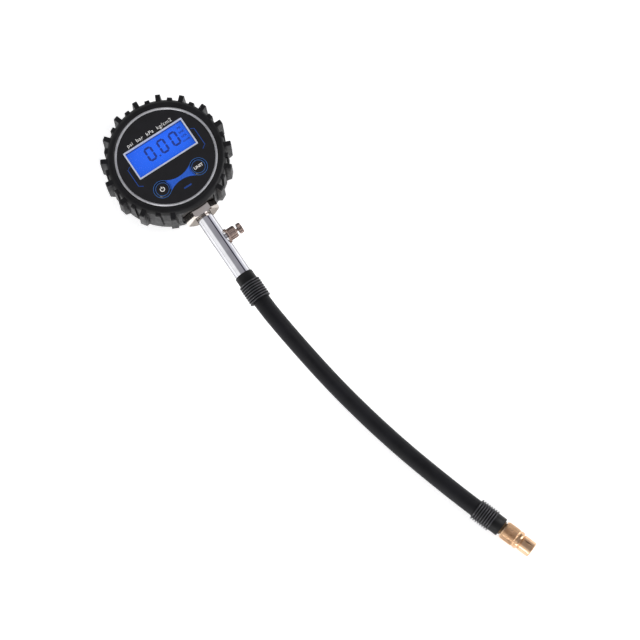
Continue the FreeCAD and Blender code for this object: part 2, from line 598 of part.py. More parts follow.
# ---- write everything -------------------------------------------------------------------
def main():
    near_crimp, far_crimp = crimps()
    parts = {
        "rubber_boot": rubber_boot(),
        "case_rear": case_rear(),
        "case_front": case_front(),
        "case_screws": screws(post_centres(), HEAD_R, (0.5, 2.6), 1.25, 20.5),
        "battery_door": battery_door(),
        "door_screw": screws([(0, DOOR_SCREW_Y)], 2.0, (0.1, 0.9), 1.0, 7.5),
        "aaa_cells": Part.makeCompound([cell(-CELL_Y), cell(CELL_Y)]),
        "battery_contacts": battery_contacts(),
        "battery_springs": battery_springs(),
        "trim_ring": turned([(FRONT_Z, RING_IN_R), (RING_Z - 0.5, RING_IN_R), (RING_Z, RING_IN_R + 0.4),
                             (RING_Z, RING_OUT_R - 0.4), (RING_Z - 0.4, RING_OUT_R),
                             (FRONT_Z, RING_OUT_R)]),
        "face_overlay": face_overlay(),
        "lcd_frame": window_ring(FRAME_HALF, (FRAME_HALF[0] - FRAME_LINE, FRAME_HALF[1] - FRAME_LINE),
                                 FRONT_Z, FRONT_Z + 1.0, 0.5),
        "button_on": button(-1),
        "button_func": button(1),
        "hex_union": hex_union(),
        "lock_nut": lock_nut(),
        "stem": stem(),
        "relief_near": relief_near(),
        "crimp_near": near_crimp,
        "hose": hose(),
        "crimp_far": far_crimp,
        "relief_far": relief_far(),
    }
    for group in (electronics(), sensor_parts(), bleeder_parts(), chuck_parts()):
        parts.update(group)
    for name, shape in parts.items():
        save(name, shape)


main()
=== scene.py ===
import json
import math

import bmesh
import bpy
from mathutils import Matrix, Vector


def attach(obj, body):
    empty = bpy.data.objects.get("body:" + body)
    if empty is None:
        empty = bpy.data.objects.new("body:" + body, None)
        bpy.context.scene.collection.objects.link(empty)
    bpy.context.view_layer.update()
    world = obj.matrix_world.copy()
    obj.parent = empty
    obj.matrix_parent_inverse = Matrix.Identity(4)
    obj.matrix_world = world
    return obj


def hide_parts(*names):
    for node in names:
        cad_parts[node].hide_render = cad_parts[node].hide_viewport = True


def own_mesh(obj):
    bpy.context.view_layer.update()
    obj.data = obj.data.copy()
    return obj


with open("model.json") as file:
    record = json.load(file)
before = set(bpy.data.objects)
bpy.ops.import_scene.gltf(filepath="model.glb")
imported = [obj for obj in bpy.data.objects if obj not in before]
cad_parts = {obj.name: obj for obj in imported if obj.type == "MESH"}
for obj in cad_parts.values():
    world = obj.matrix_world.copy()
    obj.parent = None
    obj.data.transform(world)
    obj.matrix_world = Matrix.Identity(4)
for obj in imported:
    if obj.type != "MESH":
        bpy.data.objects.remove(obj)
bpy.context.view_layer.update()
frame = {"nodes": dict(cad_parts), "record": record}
NODES = frame["nodes"]
MM = 0.001


# ---- camera -------------------------------------------------------------------------------
VIEW_TARGET = Vector((21.75, -114.81, 0.0)) * MM
VIEW_DISTANCE = 1072.7 * MM
VIEW_AZIMUTH, VIEW_ELEVATION = math.radians(33.8), math.radians(77.75)


def make_camera():
    data = bpy.data.cameras.new("camera")
    data.lens = 112.5
    data.sensor_width = 36.0
    camera = bpy.data.objects.new("camera", data)
    bpy.context.scene.collection.objects.link(camera)
    forward = Vector((math.sin(VIEW_AZIMUTH) * math.cos(VIEW_ELEVATION),
                      math.cos(VIEW_AZIMUTH) * math.cos(VIEW_ELEVATION),
                      -math.sin(VIEW_ELEVATION)))
    right = Vector((math.cos(VIEW_AZIMUTH), -math.sin(VIEW_AZIMUTH), 0.0))
    up = right.cross(forward)
    turn = Matrix((right, up, -forward)).transposed().to_4x4()
    camera.matrix_world = Matrix.Translation(VIEW_TARGET - forward * VIEW_DISTANCE) @ turn
    bpy.context.scene.camera = camera


make_camera()


# ---- node helpers -------------------------------------------------------------------------
def linear(code):
    """Linear colour of an sRGB hex code."""
    channels = [int(code[i:i + 2], 16) / 255 for i in (0, 2, 4)]
    return [c / 12.92 if c <= 0.04045 else ((c + 0.055) / 1.055) ** 2.4 for c in channels] + [1.0]


class Paint:
    """A Principled material that is built up from procedural layers."""

    def __init__(self, name, **sockets):
        self.material = bpy.data.materials.new(name)
        self.material.use_nodes = True
        self.tree = self.material.node_tree
        self.shader = self.tree.nodes["Principled BSDF"]
        self.coords = self.tree.nodes.new("ShaderNodeTexCoord")
        for socket, value in sockets.items():
            words = socket.replace("_", " ").title().replace("Ior", "IOR")
            self.shader.inputs[words].default_value = value

    def node(self, kind, **values):
        made = self.tree.nodes.new("ShaderNode" + kind)
        for key, value in values.items():
            setattr(made, key, value)
        return made

    def link(self, a, b):
        self.tree.links.new(a, b)

    def stretched(self, stretch):
        mapping = self.node("Mapping")
        mapping.inputs["Scale"].default_value = stretch
        self.link(self.coords.outputs["Object"], mapping.inputs["Vector"])
        return mapping.outputs["Vector"]

    def noise(self, scale, detail=4.0, stretch=(1, 1, 1)):
        texture = self.node("TexNoise")
        texture.inputs["Scale"].default_value = scale
        texture.inputs["Detail"].default_value = detail
        self.link(self.stretched(stretch), texture.inputs["Vector"])
        return texture.outputs["Fac"]

    def cells(self, scale, stretch=(1, 1, 1)):
        texture = self.node("TexVoronoi")
        texture.inputs["Scale"].default_value = scale
        self.link(self.stretched(stretch), texture.inputs["Vector"])
        return texture.outputs["Distance"]

    def wave(self, scale, direction="X", distortion=0.0):
        texture = self.node("TexWave", bands_direction=direction)
        texture.inputs["Scale"].default_value = scale
        texture.inputs["Distortion"].default_value = distortion
        self.link(self.coords.outputs["Object"], texture.inputs["Vector"])
        return texture.outputs["Fac"]

    def along(self, axis, start, end):
        """0 to 1 between two places along one axis of the frame, in metres."""
        split = self.node("SeparateXYZ")
        self.link(self.coords.outputs["Object"], split.inputs["Vector"])
        ranged = self.node("MapRange")
        ranged.inputs["From Min"].default_value = start
        ranged.inputs["From Max"].default_value = end
        self.link(split.outputs[axis], ranged.inputs["Value"])
        return ranged.outputs["Result"]

    def ramp(self, factor, stops, interpolation="LINEAR"):
        made = self.node("ValToRGB")
        made.color_ramp.interpolation = interpolation
        while len(made.color_ramp.elements) < len(stops):
            made.color_ramp.elements.new(0.5)
        for element, (position, colour) in zip(made.color_ramp.elements, stops):
            element.position = position
            element.color = colour
        self.link(factor, made.inputs["Fac"])
        return made.outputs["Color"]

    def mix(self, factor, a, b):
        made = self.node("Mix", data_type="RGBA")
        for source, name in ((factor, "Factor"), (a, "A"), (b, "B")):
            socket = made.inputs[name]
            if isinstance(source, bpy.types.NodeSocket):
                self.link(source, socket)
            else:
                socket.default_value = source
        return made.outputs["Result"]

    def colour(self, source):
        self.link(source, self.shader.inputs["Base Color"])
        return self

    def roughness(self, source, low, high):
        ranged = self.node("MapRange")
        ranged.inputs["From Min"].default_value = 0.3
        ranged.inputs["From Max"].default_value = 0.7
        ranged.inputs["To Min"].default_value = low
        ranged.inputs["To Max"].default_value = high
        self.link(source, ranged.inputs["Value"])
        self.link(ranged.outputs["Result"], self.shader.inputs["Roughness"])
        return self

    def bump(self, source, height, strength=1.0):
        made = self.node("Bump")
        made.inputs["Strength"].default_value = strength
        made.inputs["Distance"].default_value = height
        earlier = self.shader.inputs["Normal"].links
        if earlier:
            self.link(earlier[0].from_socket, made.inputs["Normal"])
        self.link(source, made.inputs["Height"])
        self.link(made.outputs["Normal"], self.shader.inputs["Normal"])
        return self


# ---- materials ----------------------------------------------------------------------------
def rubber(name, dark, light, roughness, grain, shine=0.28):
    """Moulded black rubber with a fine grain and a faint bloom of dust."""
    made = Paint(name, specular_ior_level=shine)
    made.colour(made.ramp(made.noise(90, 6.0), [(0.35, linear(dark)), (0.75, linear(light))]))
    made.roughness(made.noise(260, 5.0), *roughness)
    made.bump(made.noise(grain, 3.0), 0.00003, 0.6)
    made.bump(made.cells(grain * 0.6), 0.00002, 0.35)
    return made.material


def moulded(name, dark, light, roughness, grain=3200.0):
    """Injection-moulded plastic with a spark-eroded texture."""
    made = Paint(name)
    made.colour(made.ramp(made.noise(70, 4.0), [(0.3, linear(dark)), (0.7, linear(light))]))
    made.roughness(made.noise(500), *roughness)
    made.bump(made.noise(grain, 2.0), 0.00002, 0.4)
    return made.material


def metal(name, dark, light, roughness, brushing=(1, 1, 1), scratch=0.15, **sockets):
    """Bare or plated metal: slow tone changes, uneven polish and fine turning marks."""
    made = Paint(name, metallic=1.0, **sockets)
    made.colour(made.ramp(made.noise(140, 5.0), [(0.3, linear(dark)), (0.72, linear(light))]))
    made.roughness(made.noise(420, 6.0), *roughness)
    made.bump(made.noise(2600, 4.0, brushing), 0.000006, scratch)
    return made.material


def silver_paint(name, dark, light):
    """Satin silver plating on a moulded part, bright from every side."""
    made = Paint(name, metallic=0.45)
    made.colour(made.ramp(made.noise(300, 4.0), [(0.3, linear(dark)), (0.7, linear(light))]))
    made.roughness(made.noise(900, 4.0), 0.34, 0.46)
    made.bump(made.noise(5000, 2.0), 0.000003, 0.2)
    return made.material


def gloss_overlay():
    made = Paint("overlay_gloss", ior=1.46, coat_weight=0.25)
    made.colour(made.ramp(made.noise(240, 6.0), [(0.35, linear("08080a")), (0.75, linear("101014"))]))
    made.roughness(made.noise(180, 4.0), 0.10, 0.20)
    made.bump(made.noise(900, 2.0), 0.000004, 0.25)
    return made.material


def clear_window():
    made = Paint("window_clear", ior=1.49, alpha=0.015)
    made.colour(made.ramp(made.noise(120, 3.0), [(0.3, linear("dfe8ff")), (0.7, linear("f4f8ff"))]))
    made.roughness(made.noise(300, 4.0), 0.02, 0.07)
    return made.material


def lit_display():
    """Blue backlit glass: brighter in the middle, with a very fine cell grid."""
    made = Paint("display_blue", emission_color=linear("146cf0"), emission_strength=0.42,
                 specular_ior_level=0.15)
    glow = made.ramp(made.along("X", -0.018, 0.018),
                     [(0.0, linear("1248cc")), (0.45, linear("185ce6")), (1.0, linear("1454da"))])
    made.colour(made.mix(made.noise(160, 5.0), glow, linear("1652dc")))
    made.roughness(made.noise(300, 3.0), 0.12, 0.25)
    made.bump(made.wave(1400, "X"), 0.000002, 0.1)
    return made.material


def circuit_board():
    made = Paint("pcb_green", coat_weight=0.3)
    tracks = made.node("TexBrick")
    tracks.inputs["Scale"].default_value = 420.0
    tracks.inputs["Mortar Size"].default_value = 0.03
    tracks.inputs["Color1"].default_value = linear("0c4a22")
    tracks.inputs["Color2"].default_value = linear("0e5527")
    tracks.inputs["Mortar"].default_value = linear("2d8a48")
    made.link(made.coords.outputs["Object"], tracks.inputs["Vector"])
    made.colour(made.mix(made.noise(260, 3.0), tracks.outputs["Color"], linear("0d4d24")))
    made.roughness(made.noise(500), 0.25, 0.45)
    made.bump(tracks.outputs["Fac"], 0.00002, 0.4)
    return made.material


def battery_sleeve():
    """Printed cell sleeves: a dark body and a copper-coloured band at one end."""
    made = Paint("cell_wrap", coat_weight=0.5)
    bands = made.ramp(made.along("X", -0.0223, 0.0223),
                      [(0.0, linear("b9bcc0")), (0.02, linear("b8703a")), (0.26, linear("16181c")),
                       (0.98, linear("b9bcc0"))], "CONSTANT")
    made.colour(made.mix(made.noise(300, 4.0), bands, linear("24262a")))
    made.roughness(made.noise(600), 0.2, 0.4)
    made.bump(made.noise(1500, 2.0), 0.00001, 0.2)
    return made.material


def ink(name, dark, light, roughness=(0.25, 0.4), glow=0.0, shine=0.5):
    """Screen-printed ink: slightly uneven cover; glow sets a painted glow, since print is no lamp."""
    made = Paint(name, emission_color=linear(light), emission_strength=glow,
                 specular_ior_level=shine)
    made.colour(made.ramp(made.noise(1500, 4.0), [(0.3, linear(dark)), (0.7, linear(light))]))
    made.roughness(made.noise(800), *roughness)
    made.bump(made.noise(5000, 2.0), 0.000002, 0.2)
    return made.material


def hose_rubber():
    """Smooth extruded rubber with faint lengthways drag marks."""
    made = Paint("hose_rubber", specular_ior_level=0.2)
    made.colour(made.ramp(made.noise(60, 5.0), [(0.3, linear("0b0b0e")), (0.75, linear("15151a"))]))
    made.roughness(made.noise(240, 5.0), 0.42, 0.58)
    made.bump(made.noise(1800, 3.0, (1, 0.12, 1)), 0.00002, 0.35)
    return made.material


MATERIALS = {
    "boot_rubber": rubber("boot_rubber", "0b0b0d", "161619", (0.36, 0.55), 2600),
    "case_plastic": moulded("case_plastic", "1a1a1c", "252528", (0.45, 0.6)),
    "steel": metal("steel", "9a9ca0", "c4c6ca", (0.22, 0.38), (1, 1, 8)),
    "silver_trim": silver_paint("silver_trim", "a6a6aa", "c0c0c4"),
    "overlay_gloss": gloss_overlay(),
    "window_clear": clear_window(),
    "display_blue": lit_display(),
    "white_plastic": moulded("white_plastic", "d8d8d4", "ecece8", (0.4, 0.55)),
    "pcb_green": circuit_board(),
    "chip_black": moulded("chip_black", "101012", "1b1b1e", (0.4, 0.5)),
    "elastomer": moulded("elastomer", "b08088", "c39aa0", (0.5, 0.65)),
    "cell_wrap": battery_sleeve(),
    # The chrome's near-black specular tint darkens its grazing edges: a painted dark reflection along
    # the stem's edge.
    "chrome": metal("chrome", "dcdce0", "f0f0f4", (0.04, 0.09), (1, 0.2, 1), 0.08,
                    specular_tint=linear("141416")),
    "brass": metal("brass", "c8a07c", "ecc8a4", (0.16, 0.26), (6, 1, 1), 0.2),
    # The bronze's near-black specular tint darkens its grazing edges: a painted dark reflection on
    # the bleeder.
    "bronze": metal("bronze", "5c4c46", "c0aca4", (0.05, 0.10), (6, 1, 1), 0.15,
                    specular_tint=linear("201816")),
    "seal_rubber": rubber("seal_rubber", "0b0b0d", "131316", (0.22, 0.34), 3000, 0.3),
    "hose_rubber": hose_rubber(),
}


def coat(piece, material):
    if not piece.data.materials:
        piece.data.materials.append(material)
    for holder in piece.material_slots:
        holder.material = material


RELIEF_RUBBER = rubber("relief_rubber", "060608", "0d0d10", (0.40, 0.52), 3000, 0.22)
# Paler, shinier rubber for the rib crests: a painted highlight along each crest.
RIB_CREST_PAINTED_HIGHLIGHT = rubber("rib_crest_painted_highlight", "323237", "48484e", (0.18, 0.28), 3000, 0.6)
BEZEL = silver_paint("lcd_bezel", "d4dcf4", "eef2ff")
NICKEL = metal("nickel", "eee4da", "faf4ee", (0.08, 0.14), (1, 1, 1), 0.08,
               specular_tint=linear("707070"))
# Darkened brass for the swivel stem, which shows in the narrow gap between the relief and the nut:
# painted shade.
SHADED_BRASS = metal("brass_painted_shade", "4a3a28", "6b5640", (0.35, 0.5))
# These inks glow a little, though print is no lamp: a painted glow.
INK_BLUE = ink("ink_blue", "1d50b6", "2860cc", glow=0.12)
INK_LINE = ink("ink_line", "2c5898", "376aae", glow=0.08)
INK_DIM = ink("ink_dim", "163a80", "1d489a", glow=0.04)
INK_WHITE = ink("ink_white", "d9d9d9", "f4f1ee", glow=0.12)
SEGMENT = ink("segment", "08308e", "0a389c", (0.3, 0.4), shine=0.1)

for part in frame["record"]["subparts"]:
    coat(NODES[part["node"]], MATERIALS[part["material_slot"]])
for node_name, finish in (("lcd_frame", BEZEL), ("hex_union", NICKEL), ("swivel_stem", SHADED_BRASS)):
    coat(NODES[node_name], finish)


# ---- mesh helpers -------------------------------------------------------------------------
def add_piece(name, data, material, body):
    piece = bpy.data.objects.new(name, data)
    bpy.context.scene.collection.objects.link(piece)
    coat(piece, material)
    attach(piece, body)
    return piece


def mesh_from(name, bm, smooth_angle=None):
    bmesh.ops.recalc_face_normals(bm, faces=bm.faces)
    data = bpy.data.meshes.new(name)
    bm.to_mesh(data)
    bm.free()
    if smooth_angle is not None:
        data.shade_smooth()
        data.set_sharp_from_angle(angle=math.radians(smooth_angle))
    return data


def revolve(bm, profile, steps, place=Matrix.Identity(4)):
    """Closed ring solid: profile is (radius, height) corners in mm about the place's Z."""
    rings = []
    for i in range(steps):
        a = 2 * math.pi * i / steps
        rings.append([bm.verts.new(place @ (Vector((r * math.cos(a), r * math.sin(a), z)) * MM))
                      for r, z in profile])
    for i in range(steps):
        for j in range(len(profile)):
            k = (j + 1) % len(profile)
            n = (i + 1) % steps
            bm.faces.new((rings[i][j], rings[n][j], rings[n][k], rings[i][k]))


def strip(bm, left, right, z0, z1):
    """Flat printed band between two rows of points (x, y) in mm, from height z0 to z1."""
    rows = [[bm.verts.new(Vector((x, y, z)) * MM) for x, y in row]
            for row, z in ((left, z0), (right, z0), (right, z1), (left, z1))]
    for a, b in zip(rows, rows[1:] + rows[:1]):
        for i in range(len(a) - 1):
            bm.faces.new((a[i], a[i + 1], b[i + 1], b[i]))
    for end in (0, -1):
        bm.faces.new([row[end] for row in rows])


def slab(bm, outline, z0, z1):
    """Flat printed shape: the outline (x, y) in mm, from height z0 to z1."""
    low = [bm.verts.new(Vector((x, y, z0)) * MM) for x, y in outline]
    high = [bm.verts.new(Vector((x, y, z1)) * MM) for x, y in outline]
    bm.faces.new(low[::-1])
    bm.faces.new(high)
    for i in range(len(outline)):
        j = (i + 1) % len(outline)
        bm.faces.new((low[i], low[j], high[j], high[i]))


def arc(cx, cy, radius, start, end, steps):
    """Points of an arc, in mm; the angles are in degrees."""
    for i in range(steps + 1):
        a = math.radians(start + (end - start) * i / steps)
        yield cx + radius * math.cos(a), cy + radius * math.sin(a)


def stroke(points, width):
    """The two edges of a line of constant width along the points."""
    left, right = [], []
    for i, (x, y) in enumerate(points):
        ax, ay = points[max(i - 1, 0)]
        bx, by = points[min(i + 1, len(points) - 1)]
        length = math.hypot(bx - ax, by - ay)
        nx, ny = -(by - ay) / length * width / 2, (bx - ax) / length * width / 2
        left.append((x + nx, y + ny))
        right.append((x - nx, y - ny))
    return left, right


# ---- hose ---------------------------------------------------------------------------------
HOSE_DIAMETER = 0.0094
HOSE_ROUTE = (
    (0.0, -0.075, 0.014), (0.0, -0.0933, 0.014), (0.0021, -0.113, 0.0128),
    (0.0049, -0.1327, 0.0098), (0.0084, -0.1535, 0.0072), (0.0128, -0.1745, 0.0056),
    (0.0179, -0.1955, 0.00495), (0.0238, -0.2163, 0.005), (0.0308, -0.2394, 0.0062),
    (0.03731, -0.25831, 0.0062))


def make_hose():
    data = bpy.data.curves.new("hose_tube", "CURVE")
    data.dimensions = "3D"
    spline = data.splines.new("NURBS")
    spline.points.add(len(HOSE_ROUTE) - 1)
    for point, place in zip(spline.points, HOSE_ROUTE):
        point.co = (*place, 1.0)
    spline.order_u = 3
    spline.use_endpoint_u = True
    data.resolution_u = 12
    data.bevel_depth = HOSE_DIAMETER / 2
    data.bevel_resolution = 10
    data.use_fill_caps = True
    tube = add_piece("hose_tube", data, MATERIALS["hose_rubber"], "gauge")
    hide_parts("hose")
    return tube


# ---- strain reliefs -----------------------------------------------------------------------
RIB_R, RIB_ROOT_R, NECK_R, CRIMP_R = 6.1, 5.2, 5.15, 5.05
STEM_R, RIB_COUNT, RIB_WIDTH = 4.5, 8, 0.66       # the width is a share of the pitch
NEAR_NECK, NEAR_RIBS, NEAR_END, STEM_END, STEM_Z = 74.2, 79.4, 91.0, 75.0, 14.0
FAR_NECK, FAR_END, FAR_BORE_R, FAR_BORE = 11.3, 16.5, 3.85, 16.0
CRIMP_FROM, CRIMP_TO = 2.0, 9.0                   # from the hose's side of the relief
RELIEF_STEPS, CREST_DEPTH, NECK_CHAMFER = 72, 0.1, 0.3


def ribs(start, end):
    """Rounded ring ribs from start to end, as (radius, distance) points."""
    pitch = (end - start) / RIB_COUNT
    for i in range(RIB_COUNT):
        middle = start + (i + 0.5) * pitch
        for degrees in range(0, 181, 20):
            a = math.radians(degrees)
            yield (RIB_ROOT_R + (RIB_R - RIB_ROOT_R) * math.sqrt(math.sin(a) + 1e-9),
                   middle - pitch * RIB_WIDTH / 2 * math.cos(a))


def make_relief(name, node, profile, place):
    """A ribbed rubber sleeve, with a painted highlight: a paler colour along the crests of its ribs.
    """
    bm = bmesh.new()
    revolve(bm, profile, RELIEF_STEPS, place)
    relief = add_piece(name, mesh_from(name, bm, 50), RELIEF_RUBBER, "gauge")
    relief.data.materials.append(RIB_CREST_PAINTED_HIGHLIGHT)
    # The faces on the rib crests take the second material, the painted highlight.
    for face in relief.data.polygons:
        corner = face.index % len(profile)
        ends = (profile[corner][0], profile[(corner + 1) % len(profile)][0])
        if min(ends) > RIB_R - CREST_DEPTH:
            face.material_index = 1
    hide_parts(node)
    return relief


def make_reliefs():
    """Both reliefs. The far one is given back, since the hose carries it."""
    hose_r = HOSE_DIAMETER / 2 / MM
    near = [(STEM_R, NEAR_NECK), (NECK_R - NECK_CHAMFER, NEAR_NECK),
            (NECK_R, NEAR_NECK + NECK_CHAMFER),
            (NECK_R, NEAR_RIBS), *ribs(NEAR_RIBS, NEAR_END), (RIB_ROOT_R, NEAR_END),
            (hose_r, NEAR_END), (hose_r, NEAR_END - CRIMP_FROM), (CRIMP_R, NEAR_END - CRIMP_FROM),
            (CRIMP_R, NEAR_END - CRIMP_TO), (hose_r, NEAR_END - CRIMP_TO), (hose_r, STEM_END),
            (STEM_R, STEM_END)]
    stem = Matrix.Translation(Vector((0, 0, STEM_Z)) * MM) @ Matrix.Rotation(math.radians(90), 4, "X")
    make_relief("relief_near_ribbed", "relief_near", near, stem)
    far = [(hose_r, 0), (RIB_ROOT_R, 0), *ribs(0, FAR_NECK), (NECK_R, FAR_NECK),
           (NECK_R, FAR_END - NECK_CHAMFER), (NECK_R - NECK_CHAMFER, FAR_END), (FAR_BORE_R, FAR_END),
           (FAR_BORE_R, FAR_BORE), (hose_r, FAR_BORE), (hose_r, CRIMP_TO), (CRIMP_R, CRIMP_TO),
           (CRIMP_R, CRIMP_FROM), (hose_r, CRIMP_FROM)]
    return make_relief("relief_far_ribbed", "relief_far", far, chuck_place())


# ---- boot ---------------------------------------------------------------------------------
BOOT_R, BOOT_BORE_R, BOOT_LIP_R = 32.2, 29.7, 27.3
BOOT_TOP_Z = 26.8
TALL_R, SHORT_R, LUG_ROOT_R = 35.3, 33.3, 30.6
LUG_FRONT_W, LUG_BACK_W = 2.7, 4.4
LUG_TOP_Z, LUG_SHOULDER_Z, LUG_END_Z = 26.3, 9.0, 3.0
LUG_PITCH, TOP_LUG, LAST_LUG = 21.5, 3.6, 206.5
LUG_BEVEL, LUG_CHAMFER, LUG_FOOT = 0.32, 0.6, 1.0
LUG_STEPS = range(-6, 8)                          # the tall lugs, in pitches from the top one
PORT_HALF_W, PORT_LOW, PORT_HIGH, PORT_CORNER, PORT_Y = 10.3, 5.0, 23.0, 0.8, (-45, -27)


def boot_shell():
    profile = [(BOOT_LIP_R, 0.3), (BOOT_LIP_R + 0.3, 0.0), (30.6, 0.0), (31.2, 0.35), (31.9, 1.1),
               (BOOT_R, 1.9), (BOOT_R, 24.5), (32.0, 25.3), (31.5, 26.0), (30.8, 26.55),
               (30.2, 26.75), (29.6, BOOT_TOP_Z), (28.4, BOOT_TOP_Z), (28.0, 26.7), (27.75, 26.45),
               (27.7, 26.1), (27.7, 25.3), (BOOT_BORE_R, 25.3), (BOOT_BORE_R, 2.0), (BOOT_LIP_R, 2.0)]
    bm = bmesh.new()
    revolve(bm, profile, 256)
    return mesh_from("boot_shell", bm)


def boot_lug(bm, tip_r, angle):
    """One bevelled tread lug: narrow at the front, wider and sloping off behind."""
    outline = [(LUG_ROOT_R, LUG_TOP_Z), (tip_r - LUG_CHAMFER, LUG_TOP_Z),
               (tip_r, LUG_TOP_Z - LUG_CHAMFER), (tip_r, LUG_SHOULDER_Z),
               (LUG_ROOT_R + LUG_FOOT, LUG_END_Z), (LUG_ROOT_R, LUG_END_Z)]
    turn = Matrix.Rotation(math.radians(-angle), 4, "Z")
    sides = []
    for side in (-1, 1):
        row = []
        for r, z in outline:
            share = (LUG_TOP_Z - z) / (LUG_TOP_Z - LUG_END_Z)
            width = LUG_FRONT_W + (LUG_BACK_W - LUG_FRONT_W) * share
            row.append(bm.verts.new(turn @ (Vector((side * width / 2, r, z)) * MM)))
        sides.append(row)
    faces = [bm.faces.new(sides[0]), bm.faces.new(sides[1][::-1])]
    for i in range(len(outline)):
        j = (i + 1) % len(outline)
        faces.append(bm.faces.new((sides[0][j], sides[0][i], sides[1][i], sides[1][j])))
    edges = list({e for f in faces for e in f.edges})
    bmesh.ops.bevel(bm, geom=edges, offset=LUG_BEVEL * MM, segments=2, profile=0.6, affect="EDGES",
                    clamp_overlap=True)


def port_cutter():
    """A round-cornered block the size of the stem's cut-out."""
    x, low, high = PORT_HALF_W - PORT_CORNER, PORT_LOW + PORT_CORNER, PORT_HIGH - PORT_CORNER
    outline = []
    for cx, cz, start in ((x, high, 0), (-x, high, 90), (-x, low, 180), (x, low, 270)):
        outline += list(arc(cx, cz, PORT_CORNER, start, start + 90, 4))
    bm = bmesh.new()
    rows = [[bm.verts.new(Vector((x, y, z)) * MM) for x, z in outline] for y in PORT_Y]
    bm.faces.new(rows[0])
    bm.faces.new(rows[1][::-1])
    for i in range(len(outline)):
        j = (i + 1) % len(outline)
        bm.faces.new((rows[0][j], rows[0][i], rows[1][i], rows[1][j]))
    return mesh_from("port", bm)


def apply_boolean(target, other_data, operation):
    other = bpy.data.objects.new("cutter", other_data)
    bpy.context.scene.collection.objects.link(other)
    change = target.modifiers.new("change", "BOOLEAN")
    change.operation = operation
    change.solver = "EXACT"
    change.object = other
    graph = bpy.context.evaluated_depsgraph_get()
    made = bpy.data.meshes.new_from_object(target.evaluated_get(graph), depsgraph=graph)
    target.modifiers.clear()
    target.data = made
    bpy.data.objects.remove(other)


def make_boot():
    """The tyre-tread boot: a turned shell, joined to its lugs and cut out for the stem."""
    boot = bpy.data.objects.new("tread_boot", boot_shell())
    bpy.context.scene.collection.objects.link(boot)
    tall = [TOP_LUG + LUG_PITCH * k for k in LUG_STEPS]
    short = [a + LUG_PITCH / 2 for a in tall[:-1]] + [(LAST_LUG + tall[0] + 360) / 2]
    bm = bmesh.new()
    for angle in tall + [LAST_LUG]:
        boot_lug(bm, TALL_R, angle)
    for angle in short:
        boot_lug(bm, SHORT_R, angle)
    apply_boolean(boot, mesh_from("lugs", bm), "UNION")
    apply_boolean(boot, port_cutter(), "DIFFERENCE")
    boot.data.shade_smooth()
    boot.data.set_sharp_from_angle(angle=math.radians(35))
    coat(boot, MATERIALS["boot_rubber"])
    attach(boot, "gauge")
    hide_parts("rubber_boot")


# ---- chuck nut ----------------------------------------------------------------------------
CHUCK_ORIGIN = Vector((32.75, -245.07, 6.2))
CHUCK_TURN = math.radians(19.0)
NUT_R, NUT_START, COLLAR_T, NUT_END = 5.0, 17.6, 25.9, 28.4
JOURNAL_BORE_R, NOSE_FIT_R, BORE_STEP_T = 3.25, 4.1, 21.0
KNURL_COUNT, KNURL_ROWS, KNURL_DEPTH = 28, 7, 0.42
KNURL_START, KNURL_END = NUT_START + 0.5, COLLAR_T - 0.15
KNURL_FLAT = 0.72        # share of a full point's height where the points are cut off


def chuck_place():
    direction = Vector((math.sin(CHUCK_TURN), -math.cos(CHUCK_TURN), 0.0))
    side = direction.cross(Vector((0, 0, 1)))
    turn = Matrix((side, Vector((0, 0, 1)), direction)).transposed().to_4x4()
    return Matrix.Translation(CHUCK_ORIGIN * MM) @ turn


def knurl_height(u, v):
    """Height of the diamonds, 0 to KNURL_FLAT, where two sets of grooves cross."""
    def tooth(x):
        return 1 - abs(2 * (x % 1.0) - 1)
    return min(tooth(u), tooth(v), KNURL_FLAT)


def make_chuck_nut():
    """The nut's diamond knurl is real geometry: two crossing sets of helical grooves."""
    place = chuck_place()
    bm = bmesh.new()
    columns, lines = KNURL_COUNT * 4, KNURL_ROWS * 4

    def ring(t, radius_at):
        row = []
        for i in range(columns):
            a = 2 * math.pi * i / columns
            r = radius_at(i)
            row.append(bm.verts.new(place @ (Vector((r * math.cos(a), r * math.sin(a), t)) * MM)))
        return row

    def plain(corners):
        return [ring(t, lambda i: r) for r, t in corners]

    def knurled(j):
        fade = min(1.0, j / 2, (lines - j) / 2)

        def radius_at(i):
            height = knurl_height((i + j) / 4, (i - j) / 4) * fade
            return NUT_R - KNURL_DEPTH * (KNURL_FLAT - height) / KNURL_FLAT
        return ring(KNURL_START + (KNURL_END - KNURL_START) * j / lines, radius_at)

    rows = plain([(JOURNAL_BORE_R, BORE_STEP_T), (JOURNAL_BORE_R, NUT_START),
                  (NUT_R - 0.6, NUT_START), (NUT_R - 0.45, NUT_START + 0.12)])
    rows += [knurled(j) for j in range(lines + 1)]
    rows += plain([(NUT_R - 0.32, COLLAR_T), (NUT_R - 0.32, COLLAR_T + 0.25),
                   (NUT_R - 0.12, COLLAR_T + 0.34), (NUT_R - 0.05, COLLAR_T + 0.5),
                   (NUT_R - 0.05, NUT_END - 0.35), (NUT_R - 0.15, NUT_END - 0.12),
                   (NUT_R - 0.4, NUT_END), (NOSE_FIT_R, NUT_END), (NOSE_FIT_R, BORE_STEP_T)])
    for a, b in zip(rows, rows[1:] + rows[:1]):
        for i in range(columns):
            k = (i + 1) % columns
            bm.faces.new((a[i], a[k], b[k], b[i]))
    nut = add_piece("chuck_nut_knurled", mesh_from("chuck_nut", bm, 25), MATERIALS["brass"], "chuck")
    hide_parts("chuck_nut")
    return nut


# ---- bleeder ------------------------------------------------------------------------------
BLEEDER_Y = -51.7
FLANGE_BORE_R, FLANGE_R, FLANGE_X, FLANGE_CHAMFER = 3.3, 4.15, (4.0, 5.3), 0.25
SPRING_X, SPRING_R, SPRING_WIRE_R, SPRING_PITCH, SPRING_TURNS = 2.18, 1.42, 0.16, 0.7, 3


